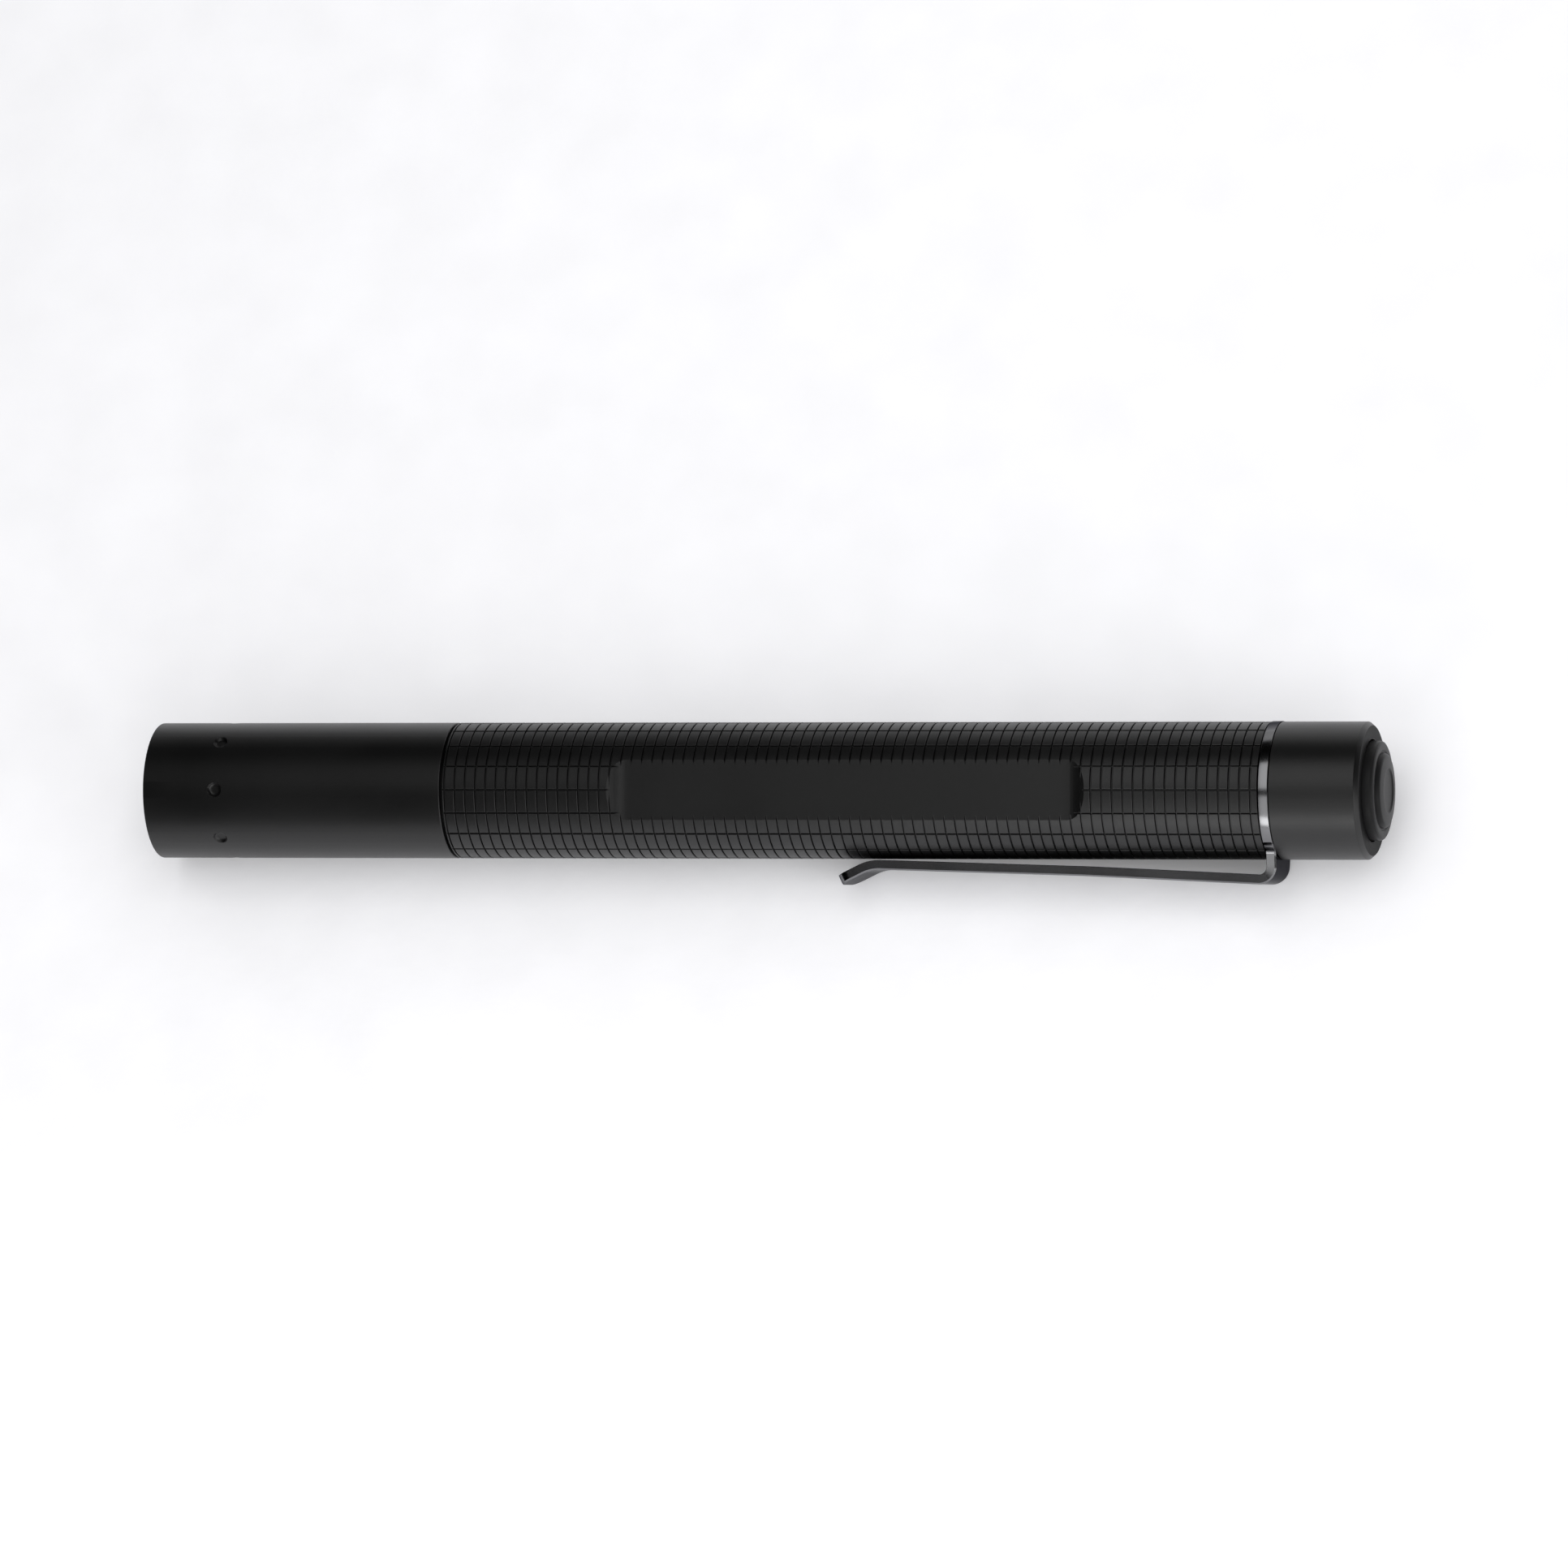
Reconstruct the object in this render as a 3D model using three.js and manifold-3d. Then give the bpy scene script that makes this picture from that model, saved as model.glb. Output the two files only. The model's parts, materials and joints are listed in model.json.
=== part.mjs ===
// Pocket penlight: a slim torch with a push-pull focusing head, a battery tube with a milled side flat,
// a sprung pocket clip, a screw-on tail cap and a push-button switch.
// Units are millimetres. Every piece is drawn about the tube's own axis, +X from the front rim (x = 0)
// to the push-button, with the side flat facing -Y and the clip hanging down -Z. The finished group is
// then rolled about X until tube and clip both touch the table, and set on its origin.
import * as THREE from "three";
import { mergeVertices } from "three/addons/utils/BufferGeometryUtils.js";
import Module from "manifold-3d";

const wasm = await Module();
wasm.setup();

// ---- Driving dimensions -------------------------------------------------------------------------
const BODY_R = 7.0;
const LENGTH = 130.3;
const GAP = 0.15; // kept between pieces that touch
const FINE = 48; // facets round an outer shell
const PLAIN = 24; // facets round an inner piece

// Stations along the axis.
const HEAD_END = 32.1;
const TUBE_START = 32.4;
const RING_START = 118.4;
const RING_END = 119.4;
const CAP_END = 128.65;

// Focusing head.
const HEAD_BORE_R = 6.35;
const WINDOW_R = 5.75;
const WINDOW_DEPTH = 3.3;
const RIM_CHAMFER = 0.15;
const DIMPLES = 8;
const DIMPLE_X = 7.8;
const DIMPLE_R = 0.7;
const DIMPLE_DEPTH = 0.4;
const LENS_R = 6.05;
const LENS_FRONT = 1.1;
const LENS_FLANGE = [3.9, 5.3];
const GASKET_R = [5.85, 6.1];
const LENS_RING_R = [5.2, 6.1];

// Front sleeve, which the head slides on.
const SLEEVE_R = 6.05;
const SLEEVE_BORE_R = 5.5;
const SLEEVE_LIP_R = 4.9;
const SLEEVE_SPAN = [6.7, 40.9];
const SLEEVE_SHOULDER = 11.9;
const SLEEVE_GROOVE = [7.95, 8.85];
const SLEEVE_GROOVE_R = 5.45;

// Light source and driver, by their stations and radii.
const HEATSINK_FLOOR = 14.1;
const HEATSINK_END = 19.9;
const HEATSINK_R = [4.5, 5.2];
const LED_BOARD = [10.9, 11.8];
const LED_BOARD_R = 4.5;
const LED_PACKAGE = [0.6, 3.5, 3.5];
const LED_DOME = [9.0, 9.95];
const LED_DOME_R = 1.3;
const DRIVER_BOARD = [18.9, 19.75];
const DRIVER_BOARD_R = 4.3;
const INDUCTOR = [2.1, 3.0, 3.0];
const FRONT_CONTACT = [19.95, 21.9, 22.85]; // pin, then the wider pad
const FRONT_CONTACT_R = [1.2, 2.0];

// Battery tube.
const TUBE_BORE_R = 5.5;
const FRONT_BORE_END = 41.2;
const THREAD_BORE_R = 6.4;
const THREAD_BORE_START = 108.5;
const TUBE_CHAMFER = 0.12;
const FLAT_SPAN = [51.9, 98.4];
const FLAT_HEIGHT = 6.28; // from the axis
const FLAT_RUN_OUT_R = 3.0;

// AAA cells.
const CELL_R = 5.25;
const CELL_LENGTH = 44.5;
const CELL_STARTS = [23.0, 67.8];
const NUB_R = 1.9;
const NUB_LENGTH = 0.9;
const CELL_TOP_EDGE = 0.4;
const CELL_BASE_EDGE = 0.3;
const CELL_CRIMP_R = 4.3;
const CELL_RECESS = [0.6, 3.9]; // depth and radius of the hollow round the terminal
const TERMINAL_R = 3.2;
const TERMINAL_BRIM = [0.1, 0.45]; // from the can's top

// Pocket clip: one bent strip, whose inner face passes through these stations.
const CLIP_SHEET = 1.0;
const CLIP_WIDTH = 6.0;
const CLIP_BEND_R = 0.85; // inside the root bend
const CLIP_ROOT_HEIGHT = 8.5; // inner face from the axis, at the root bend
const CLIP_KINK = [99.3, 7.69];
const CLIP_TOUCH = [77.8, 7.1];
const CLIP_TIP_ANGLE = THREE.MathUtils.degToRad(26);
const CLIP_TIP_R = 5.0; // inner face of the bend that lifts the tip
const CLIP_TIP_X = 73.3;
const CLIP_RING_PROUD = 0.05;

// Tail cap, switch and button.
const SPIGOT_R = 6.1;
const SPIGOT_START = 108.9;
const CAP_BORE_R = 5.55;
const CAP_LIP_START = 125.5;
const BUTTON_HOLE_R = 5.2;
const CAP_CHAMFER = [0.45, 0.4];
const CAP_GROOVE = [117.2, 118.0];
const CAP_GROOVE_R = 5.85;
const SWITCH_RING = [115.0, 117.0];
const SWITCH_RING_R = [4.3, 5.4];
const SWITCH_BOARD = [117.2, 118.0];
const SWITCH_BOARD_R = 5.35;
const SWITCH_HOUSING = [118.2, 122.8];
const SWITCH_CAVITY = [119.2, 122.0];
const SWITCH_CAVITY_R = 3.4;
const SWITCH_HOLE_R = 1.9;
const SWITCH_CONTACT = [119.35, 119.65];
const SWITCH_CONTACT_R = 3.0;
const BUTTON_R = 5.07;
const BUTTON_START = 124.3;
const BUTTON_FLANGE = [0.9, 5.4]; // thickness and radius
const BUTTON_HOLLOW = [128.4, 4.0]; // end and radius
const BUTTON_FACE = 129.75; // the ring-shaped face round the raised disc
const BUTTON_EDGE = 0.4;
const BUTTON_DISC_R = [3.85, 3.6, 2.4]; // at its foot, its shoulder and its crown
const BUTTON_SHOULDER = 130.15;
const PLUNGER = [120.9, 128.2];
const PLUNGER_R = 1.6;

// Springs: [start, end], radius of the coil, radius of the wire, turns.
const TAIL_SPRING = [[112.5, 117.0], 3.2, 0.3, 4];
const BUTTON_SPRING = [[124.4, 128.2], 2.6, 0.22, 4];

// Seals: radius of the ring and of its section.
const SLEEVE_SEAL_R = [5.9, 0.3];
const CAP_SEAL_R = [6.13, 0.2];

// ---- Materials ----------------------------------------------------------------------------------
function finish(color, roughness, metalness) {
  return new THREE.MeshStandardMaterial({ color, roughness, metalness });
}
const ANODISED = finish(0x1c1c1e, 0.42, 0.6);
const CLIP_STEEL = finish(0x3a3a3c, 0.35, 0.8);
const BUTTON_BLACK = finish(0x202022, 0.5, 0.3);
const BRASS = finish(0xb89448, 0.35, 1.0);
const NICKEL = finish(0xb4b4b0, 0.3, 1.0);
const RUBBER = finish(0x111111, 0.8, 0.0);
const PLASTIC = finish(0x1a1a1c, 0.6, 0.0);
const BOARD_GREEN = finish(0x1f5a35, 0.5, 0.0);
const BOARD_WHITE = finish(0xe6e6e0, 0.5, 0.0);
const PHOSPHOR = finish(0xe8d46a, 0.3, 0.0);
const CELL_JACKET = finish(0x55606a, 0.4, 0.3);
const CLEAR = finish(0xdfe8ee, 0.05, 0.0);
CLEAR.transparent = true;
CLEAR.opacity = 0.4;

// ---- Shape helpers ------------------------------------------------------------------------------
const nodes = new THREE.Group();

function add(name, geometry, material) {
  const mesh = new THREE.Mesh(geometry, material);
  mesh.name = name;
  nodes.add(mesh);
}

// A body turned about X from an outline of [x, radius] points, which runs out along the front of the
// piece and back along its rear, and starts and ends on the axis or closes on itself.
function turned(outline, facets = PLAIN) {
  const points = outline.map(([x, r]) => new THREE.Vector2(r, x));
  return new THREE.LatheGeometry(points, facets).rotateZ(-Math.PI / 2);
}

// A plain ring, or a disc where the inner radius is 0.
function ring([start, end], [inner, outer], facets = PLAIN) {
  const outline = [
    [start, inner],
    [start, outer],
    [end, outer],
    [end, inner],
  ];
  if (inner > 0) outline.push(outline[0]);
  return turned(outline, facets);
}

// A round rubber seal in the middle of its groove.
function seal([start, end], [middle, section]) {
  const torus = new THREE.TorusGeometry(middle, section, 8, PLAIN);
  return torus.rotateY(Math.PI / 2).translate((start + end) / 2, 0, 0);
}

// A block that ends just short of the given station.
function blockBefore(x, size) {
  return new THREE.BoxGeometry(...size).translate(x - GAP - size[0] / 2, 0, 0);
}

// A coil spring along X.
function coil([start, end], radius, wire, turns) {
  const stepsPerTurn = 12;
  const points = [];
  for (let i = 0; i <= turns * stepsPerTurn; i++) {
    const angle = (i / stepsPerTurn) * 2 * Math.PI;
    const x = THREE.MathUtils.lerp(start + wire, end - wire, i / (turns * stepsPerTurn));
    points.push(new THREE.Vector3(x, radius * Math.cos(angle), radius * Math.sin(angle)));
  }
  const section = new THREE.Shape();
  section.absarc(0, 0, wire, 0, 2 * Math.PI);
  return new THREE.ExtrudeGeometry(section, {
    extrudePath: new THREE.CatmullRomCurve3(points),
    steps: turns * stepsPerTurn,
    curveSegments: 3,
    bevelEnabled: false,
  });
}

function solid(geometry) {
  const bare = geometry.clone();
  bare.deleteAttribute("normal");
  bare.deleteAttribute("uv");
  const merged = mergeVertices(bare, 1e-4);
  return new wasm.Manifold(
    new wasm.Mesh({
      numProp: 3,
      vertProperties: merged.attributes.position.array,
      triVerts: new Uint32Array(merged.index.array),
    }),
  );
}

function geometryOf(body) {
  const mesh = body.getMesh();
  const geometry = new THREE.BufferGeometry();
  geometry.setAttribute("position", new THREE.BufferAttribute(mesh.vertProperties, 3));
  geometry.setIndex(new THREE.BufferAttribute(mesh.triVerts, 1));
  return geometry;
}

// A side view of [x, height from the axis] points, made into a strip that hangs below the tube.
function strip(outline, width) {
  const shape = new THREE.Shape(outline.map(([x, height]) => new THREE.Vector2(x, -height)));
  return new THREE.ExtrudeGeometry(shape, { depth: width, bevelEnabled: false, curveSegments: 6 })
    .translate(0, 0, -width / 2)
    .rotateX(Math.PI / 2);
}

// Points of an arc in the side view, with angles counted from +X towards greater height.
function arc(centre, radius, from, to, steps) {
  const points = [];
  for (let i = 0; i <= steps; i++) {
    const angle = THREE.MathUtils.lerp(from, to, i / steps);
    points.push([centre[0] + radius * Math.cos(angle), centre[1] + radius * Math.sin(angle)]);
  }
  return points;
}

// ---- Focusing head ------------------------------------------------------------------------------
function headShell() {
  const shell = turned(
    [
      [0, WINDOW_R],
      [0, BODY_R - RIM_CHAMFER],
      [RIM_CHAMFER, BODY_R],
      [HEAD_END - RIM_CHAMFER, BODY_R],
      [HEAD_END, BODY_R - RIM_CHAMFER],
      [HEAD_END, HEAD_BORE_R],
      [WINDOW_DEPTH, HEAD_BORE_R],
      [WINDOW_DEPTH, WINDOW_R],
      [0, WINDOW_R],
    ],
    FINE,
  );
  const ballR = (DIMPLE_R ** 2 + DIMPLE_DEPTH ** 2) / (2 * DIMPLE_DEPTH);
  let body = solid(shell);
  for (let i = 0; i < DIMPLES; i++) {
    const ball = new THREE.SphereGeometry(ballR, 10, 8)
      .translate(DIMPLE_X, -(BODY_R - DIMPLE_DEPTH + ballR), 0)
      .rotateX((i / DIMPLES) * 2 * Math.PI);
    body = body.subtract(solid(ball));
  }
  return geometryOf(body);
}

function lens() {
  const [front, back] = LENS_FLANGE;
  const domeR = WINDOW_R - 2 * GAP;
  const rise = front - LENS_FRONT;
  const steps = 5;
  const outline = [];
  for (let i = 0; i <= steps; i++) {
    const t = i / steps;
    outline.push([LENS_FRONT + rise * (1 - Math.sqrt(1 - t * t)), domeR * t]);
  }
  outline.push([front, LENS_R], [back, LENS_R], [back, 0]);
  return turned(outline);
}

add("head_shell", headShell(), ANODISED);
add("lens", lens(), CLEAR);
add("lens_gasket", ring([WINDOW_DEPTH + GAP, LENS_FLANGE[0] - GAP], GASKET_R), RUBBER);
add("lens_ring", ring([LENS_FLANGE[1] + GAP, SLEEVE_SPAN[0] - 2 * GAP], LENS_RING_R), ANODISED);

// ---- Front sleeve, light source and driver ------------------------------------------------------
function frontSleeve() {
  const [start, end] = SLEEVE_SPAN;
  return turned([
    [start, SLEEVE_LIP_R],
    [start, SLEEVE_R],
    [SLEEVE_GROOVE[0], SLEEVE_R],
    [SLEEVE_GROOVE[0], SLEEVE_GROOVE_R],
    [SLEEVE_GROOVE[1], SLEEVE_GROOVE_R],
    [SLEEVE_GROOVE[1], SLEEVE_R],
    [end, SLEEVE_R],
    [end, SLEEVE_BORE_R],
    [SLEEVE_SHOULDER, SLEEVE_BORE_R],
    [SLEEVE_SHOULDER, SLEEVE_LIP_R],
    [start, SLEEVE_LIP_R],
  ]);
}

// A cup whose closed end carries the LED and whose skirt holds the driver board.
function heatsink() {
  const start = SLEEVE_SHOULDER + GAP;
  const [inner, outer] = HEATSINK_R;
  return turned([
    [start, 0],
    [start, outer],
    [HEATSINK_END, outer],
    [HEATSINK_END, inner],
    [HEATSINK_FLOOR, inner],
    [HEATSINK_FLOOR, 0],
  ]);
}

function frontContact() {
  const [start, shoulder, end] = FRONT_CONTACT;
  const [pin, pad] = FRONT_CONTACT_R;
  return turned([
    [start, 0],
    [start, pin],
    [shoulder, pin],
    [shoulder, pad],
    [end, pad],
    [end, 0],
  ]);
}

add("front_sleeve", frontSleeve(), ANODISED);
add("sleeve_oring", seal(SLEEVE_GROOVE, SLEEVE_SEAL_R), RUBBER);
add("led_heatsink", heatsink(), BRASS);
add("led_board", ring(LED_BOARD, [0, LED_BOARD_R]), BOARD_WHITE);
add("led_package", blockBefore(LED_BOARD[0], LED_PACKAGE), BOARD_WHITE);
add("led_dome", ring(LED_DOME, [0, LED_DOME_R]), PHOSPHOR);
add("driver_board", ring(DRIVER_BOARD, [0, DRIVER_BOARD_R]), BOARD_GREEN);
add("driver_inductor", blockBefore(DRIVER_BOARD[0], INDUCTOR), PLASTIC);
add("front_contact", frontContact(), BRASS);

// ---- Battery tube -------------------------------------------------------------------------------
// The flat is milled with a round cutter, so its two ends run out along an arc.
function flatCutter() {
  const [start, end] = FLAT_SPAN;
  const centreHeight = FLAT_HEIGHT + FLAT_RUN_OUT_R;
  const reach = BODY_R + 1;
  const sweep = Math.acos((centreHeight - reach) / FLAT_RUN_OUT_R);
  const down = -Math.PI / 2;
  const outline = [
    ...arc([start, centreHeight], FLAT_RUN_OUT_R, down - sweep, down, 5),
    ...arc([end, centreHeight], FLAT_RUN_OUT_R, down, down + sweep, 5),
  ];
  return strip(outline, 4 * BODY_R).rotateX(-Math.PI / 2);
}

function batteryTube() {
  const [start, end] = [TUBE_START, RING_START - GAP];
  const shell = turned(
    [
      [start, HEAD_BORE_R],
      [start, BODY_R - TUBE_CHAMFER],
      [start + TUBE_CHAMFER, BODY_R],
      [end, BODY_R],
      [end, THREAD_BORE_R],
      [THREAD_BORE_START, THREAD_BORE_R],
      [THREAD_BORE_START, TUBE_BORE_R],
      [FRONT_BORE_END, TUBE_BORE_R],
      [FRONT_BORE_END, HEAD_BORE_R],
      [start, HEAD_BORE_R],
    ],
    FINE,
  );
  return geometryOf(solid(shell).subtract(solid(flatCutter())));
}

add("battery_tube", batteryTube(), ANODISED);

// ---- Cells --------------------------------------------------------------------------------------
// Each cell's positive end, with its nub, faces the head.
function cellCan(start) {
  const top = start + NUB_LENGTH;
  const [recess, recessR] = CELL_RECESS;
  const end = start + CELL_LENGTH;
  return turned([
    [top + recess, 0],
    [top + recess, recessR],
    [top, CELL_CRIMP_R],
    [top, CELL_R - CELL_TOP_EDGE],
    [top + CELL_TOP_EDGE, CELL_R],
    [end - CELL_BASE_EDGE, CELL_R],
    [end, CELL_R - CELL_BASE_EDGE],
    [end, 0],
  ]);
}

function cellTerminal(start) {
  const [brim, end] = TERMINAL_BRIM.map((depth) => start + NUB_LENGTH + depth);
  return turned([
    [start, 0],
    [start, NUB_R],
    [brim, NUB_R],
    [brim, TERMINAL_R],
    [end, TERMINAL_R],
    [end, 0],
  ]);
}

["front", "rear"].forEach((place, i) => {
  add(`cell_${place}_can`, cellCan(CELL_STARTS[i]), CELL_JACKET);
  add(`cell_${place}_terminal`, cellTerminal(CELL_STARTS[i]), NICKEL);
});

// ---- Pocket clip --------------------------------------------------------------------------------
const CLIP_LEG = [RING_START, RING_END - GAP]; // the sheet's two faces where it stands off the ring
const BEND_CENTRE = [CLIP_LEG[0] - CLIP_BEND_R, CLIP_ROOT_HEIGHT - CLIP_BEND_R];

// The bend that lifts the tip, and the tip's inner and outer corners.
const TIP_CENTRE = [CLIP_TOUCH[0], CLIP_TOUCH[1] + CLIP_TIP_R];
const ARM_SLOPE = Math.atan2(CLIP_KINK[1] - CLIP_TOUCH[1], CLIP_KINK[0] - CLIP_TOUCH[0]);
const TIP_TURN = [-Math.PI / 2 - CLIP_TIP_ANGLE, -Math.PI / 2 + ARM_SLOPE];
const TIP_INNER = arc(TIP_CENTRE, CLIP_TIP_R, ...TIP_TURN, 5);
const TIP_OUTER = arc(TIP_CENTRE, CLIP_TIP_R - CLIP_SHEET, ...TIP_TURN, 5);
const TIP_INNER_HEIGHT = TIP_INNER[0][1] + (TIP_INNER[0][0] - CLIP_TIP_X) * Math.tan(CLIP_TIP_ANGLE);
const TIP_OUTER_HEIGHT = TIP_INNER_HEIGHT + CLIP_SHEET * Math.cos(CLIP_TIP_ANGLE);

// The ring is clamped between tube and cap; its leg stands out and turns forward into the arm.
function clipRing() {
  const [front, back] = CLIP_LEG;
  const washer = ring(CLIP_LEG, [THREAD_BORE_R, BODY_R + CLIP_RING_PROUD], FINE);
  const foot = (THREAD_BORE_R + BODY_R) / 2; // inside the washer, so that the two join
  const leg = strip(
    [
      [front, foot],
      ...arc(BEND_CENTRE, CLIP_BEND_R, 0, Math.PI / 2, 5),
      ...arc(BEND_CENTRE, CLIP_BEND_R + back - front, Math.PI / 2, 0, 5),
      [back, foot],
    ],
    CLIP_WIDTH,
  );
  return geometryOf(solid(washer).add(solid(leg)));
}

function clipArm() {
  const start = BEND_CENTRE[0] - GAP;
  const inner = [
    [CLIP_TIP_X, TIP_INNER_HEIGHT],
    ...TIP_INNER,
    CLIP_KINK,
    [start, CLIP_ROOT_HEIGHT],
  ];
  const outer = [
    [CLIP_TIP_X + CLIP_SHEET * Math.sin(CLIP_TIP_ANGLE), TIP_OUTER_HEIGHT],
    ...TIP_OUTER,
    [CLIP_KINK[0], CLIP_KINK[1] + CLIP_SHEET],
    [start, CLIP_ROOT_HEIGHT + CLIP_SHEET],
  ];
  return strip([...inner, ...outer.reverse()], CLIP_WIDTH);
}

add("clip_ring", clipRing(), CLIP_STEEL);
add("clip_arm", clipArm(), CLIP_STEEL);

// ---- Tail cap, switch and button ----------------------------------------------------------------
function tailCap() {
  return turned(
    [
      [SPIGOT_START, CAP_BORE_R],
      [SPIGOT_START, SPIGOT_R],
      [CAP_GROOVE[0], SPIGOT_R],
      [CAP_GROOVE[0], CAP_GROOVE_R],
      [CAP_GROOVE[1], CAP_GROOVE_R],
      [CAP_GROOVE[1], SPIGOT_R],
      [RING_END, SPIGOT_R],
      [RING_END, BODY_R],
      [CAP_END - CAP_CHAMFER[0], BODY_R],
      [CAP_END, BODY_R - CAP_CHAMFER[1]],
      [CAP_END, BUTTON_HOLE_R],
      [CAP_LIP_START, BUTTON_HOLE_R],
      [CAP_LIP_START, CAP_BORE_R],
      [SPIGOT_START, CAP_BORE_R],
    ],
    FINE,
  );
}

// A plastic cup round the contacts, with a hole in its rear wall for the plunger.
function switchHousing() {
  const [start, end] = SWITCH_HOUSING;
  const [floor, wall] = SWITCH_CAVITY;
  return turned([
    [start, 0],
    [start, SWITCH_BOARD_R],
    [end, SWITCH_BOARD_R],
    [end, SWITCH_HOLE_R],
    [wall, SWITCH_HOLE_R],
    [wall, SWITCH_CAVITY_R],
    [floor, SWITCH_CAVITY_R],
    [floor, 0],
  ]);
}

// A thimble with a flange that the cap's lip holds in, and a crowned disc raised from its face.
function button() {
  const [flange, flangeR] = BUTTON_FLANGE;
  const [hollowEnd, hollowR] = BUTTON_HOLLOW;
  const [footR, shoulderR, crownR] = BUTTON_DISC_R;
  return turned([
    [hollowEnd, 0],
    [hollowEnd, hollowR],
    [BUTTON_START, hollowR],
    [BUTTON_START, flangeR],
    [BUTTON_START + flange, flangeR],
    [BUTTON_START + flange, BUTTON_R],
    [BUTTON_FACE - BUTTON_EDGE, BUTTON_R],
    [BUTTON_FACE, BUTTON_R - BUTTON_EDGE],
    [BUTTON_FACE, footR],
    [BUTTON_SHOULDER, shoulderR],
    [LENGTH, crownR],
    [LENGTH, 0],
  ]);
}

add("tail_cap", tailCap(), ANODISED);
add("cap_oring", seal(CAP_GROOVE, CAP_SEAL_R), RUBBER);
add("tail_spring", coil(...TAIL_SPRING), NICKEL);
add("switch_ring", ring(SWITCH_RING, SWITCH_RING_R), BRASS);
add("switch_board", ring(SWITCH_BOARD, [0, SWITCH_BOARD_R]), BOARD_GREEN);
add("switch_housing", switchHousing(), PLASTIC);
add("switch_contact", ring(SWITCH_CONTACT, [0, SWITCH_CONTACT_R]), BRASS);
add("button", button(), BUTTON_BLACK);
add("button_plunger", ring(PLUNGER, [0, PLUNGER_R]), PLASTIC);
add("button_spring", coil(...BUTTON_SPRING), NICKEL);

// ---- Lying on the table -------------------------------------------------------------------------
// How far the clip dips below level when the tube and a clip corner at this height both touch the table.
function dipAt(height) {
  const reach = CLIP_WIDTH / 2;
  return Math.asin(BODY_R / Math.hypot(height, reach)) - Math.atan2(reach, height);
}

// The corner that touches first, at the clip's root or at its tip, sets the roll.
const clipDip = Math.min(dipAt(CLIP_ROOT_HEIGHT + CLIP_SHEET), dipAt(TIP_OUTER_HEIGHT));
nodes.rotation.x = clipDip - Math.PI / 2;

const penlight = new THREE.Group();
penlight.add(nodes);
penlight.updateMatrixWorld(true);
const extent = new THREE.Box3().setFromObject(penlight, true);
nodes.position.set(
  -(extent.min.x + extent.max.x) / 2,
  -(extent.min.y + extent.max.y) / 2,
  -extent.min.z,
);

export default penlight;
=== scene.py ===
"""Looks of a black pocket penlight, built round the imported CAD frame.

Every piece is drawn in millimetres in the light's own directions and then placed: x runs back from the
front rim, n stands out of the milled flat, and d points to the clip. Angles round the tube count from n
towards d.
"""

import json
import math

import bmesh
import bpy
from mathutils import Matrix, Vector


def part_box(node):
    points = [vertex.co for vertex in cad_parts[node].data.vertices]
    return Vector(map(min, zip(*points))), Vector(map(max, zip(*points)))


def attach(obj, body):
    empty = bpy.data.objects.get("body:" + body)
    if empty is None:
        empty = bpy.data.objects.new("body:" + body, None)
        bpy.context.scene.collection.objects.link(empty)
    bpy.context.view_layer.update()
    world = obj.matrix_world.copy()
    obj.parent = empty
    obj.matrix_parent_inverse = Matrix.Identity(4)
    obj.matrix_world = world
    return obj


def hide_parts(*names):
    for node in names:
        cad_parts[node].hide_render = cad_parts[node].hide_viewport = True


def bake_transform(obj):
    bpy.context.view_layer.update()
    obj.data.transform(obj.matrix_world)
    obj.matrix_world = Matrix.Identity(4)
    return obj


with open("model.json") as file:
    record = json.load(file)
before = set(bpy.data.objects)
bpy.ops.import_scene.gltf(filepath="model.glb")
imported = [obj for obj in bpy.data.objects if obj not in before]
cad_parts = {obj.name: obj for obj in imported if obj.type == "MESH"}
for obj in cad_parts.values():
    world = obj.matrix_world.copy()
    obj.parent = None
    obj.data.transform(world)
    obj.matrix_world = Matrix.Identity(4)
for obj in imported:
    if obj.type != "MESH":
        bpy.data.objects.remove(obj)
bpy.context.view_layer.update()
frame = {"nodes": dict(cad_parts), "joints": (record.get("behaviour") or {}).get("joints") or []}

# ---- The light's own directions, from the frame -------------------------------------------------
MM = 0.001
JOINTS = {joint["name"]: joint for joint in frame["joints"]}
ALONG = Vector((1, 0, 0))
OUT_OF_FLAT = Vector(JOINTS["clip_flex"]["axis"]).normalized()
TO_CLIP = ALONG.cross(OUT_OF_FLAT)
HEAD_LOW, HEAD_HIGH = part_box("head_shell")
RIM = Vector((HEAD_LOW.x, (HEAD_LOW.y + HEAD_HIGH.y) / 2, (HEAD_LOW.z + HEAD_HIGH.z) / 2))
AXES = Matrix((ALONG, OUT_OF_FLAT, TO_CLIP)).transposed().to_4x4()
PLACE = Matrix.Translation(RIM) @ AXES @ Matrix.Scale(MM, 4)


def at(x, n, d):
    """A point given along the light, out of its flat and towards its clip, in the frame's metres."""
    return PLACE @ Vector((x, n, d))


def along(node):
    """Where a CAD node starts and ends along the light, in millimetres from the front rim."""
    low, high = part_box(node)
    return (low.x - RIM.x) / MM, (high.x - RIM.x) / MM


# ---- Sizes, in millimetres ----------------------------------------------------------------------
BODY_R = (HEAD_HIGH.y - HEAD_LOW.y) / 2 / MM
SAME = 1e-3  # radii closer than this count as the same
SEGMENTS = 144
ARC_STEPS = 4
SEAL_SIDES = 20
SHARP_ANGLE = math.radians(28)
GRIP_SHARP_ANGLE = math.radians(8)  # keeps the flat and the grooves' chamfers crisp

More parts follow.
